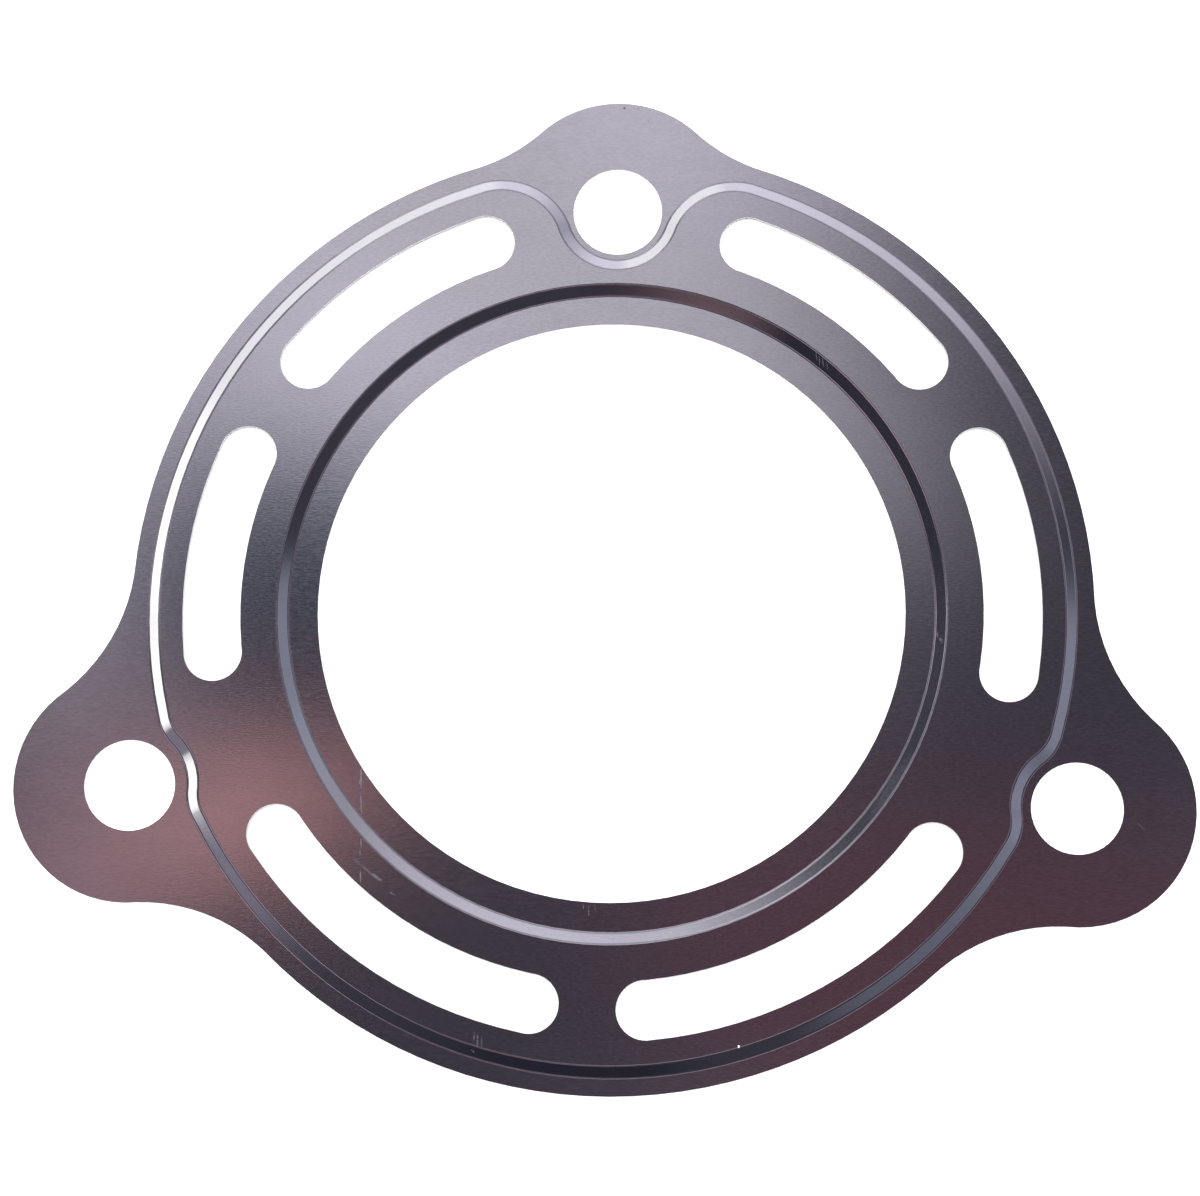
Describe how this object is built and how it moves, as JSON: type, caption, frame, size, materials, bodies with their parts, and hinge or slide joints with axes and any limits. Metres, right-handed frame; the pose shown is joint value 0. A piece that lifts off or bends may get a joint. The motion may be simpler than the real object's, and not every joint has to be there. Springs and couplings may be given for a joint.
{
  "type": "exhaust head pipe gasket",
  "caption": "Flat stamped steel gasket with a round bore, bolt ears, curved slots and a raised band between two folded steps, for the joint of an exhaust head pipe.",
  "frame": {"origin": "the bore's axis, on the lower face of the flat rim and flange", "axes": "+Z is the bore's axis, towards the raised band. +Y points at the ear of the single hole opposite the wide pair, and +X to the right of it, along the longest side"},
  "size_m": [0.1355, 0.117, 0.001],
  "materials": {
    "steel": "satin cold rolled steel"
  },
  "bodies": {
    "root": {"gasket_sheet": "steel"}
  },
  "joints": []
}
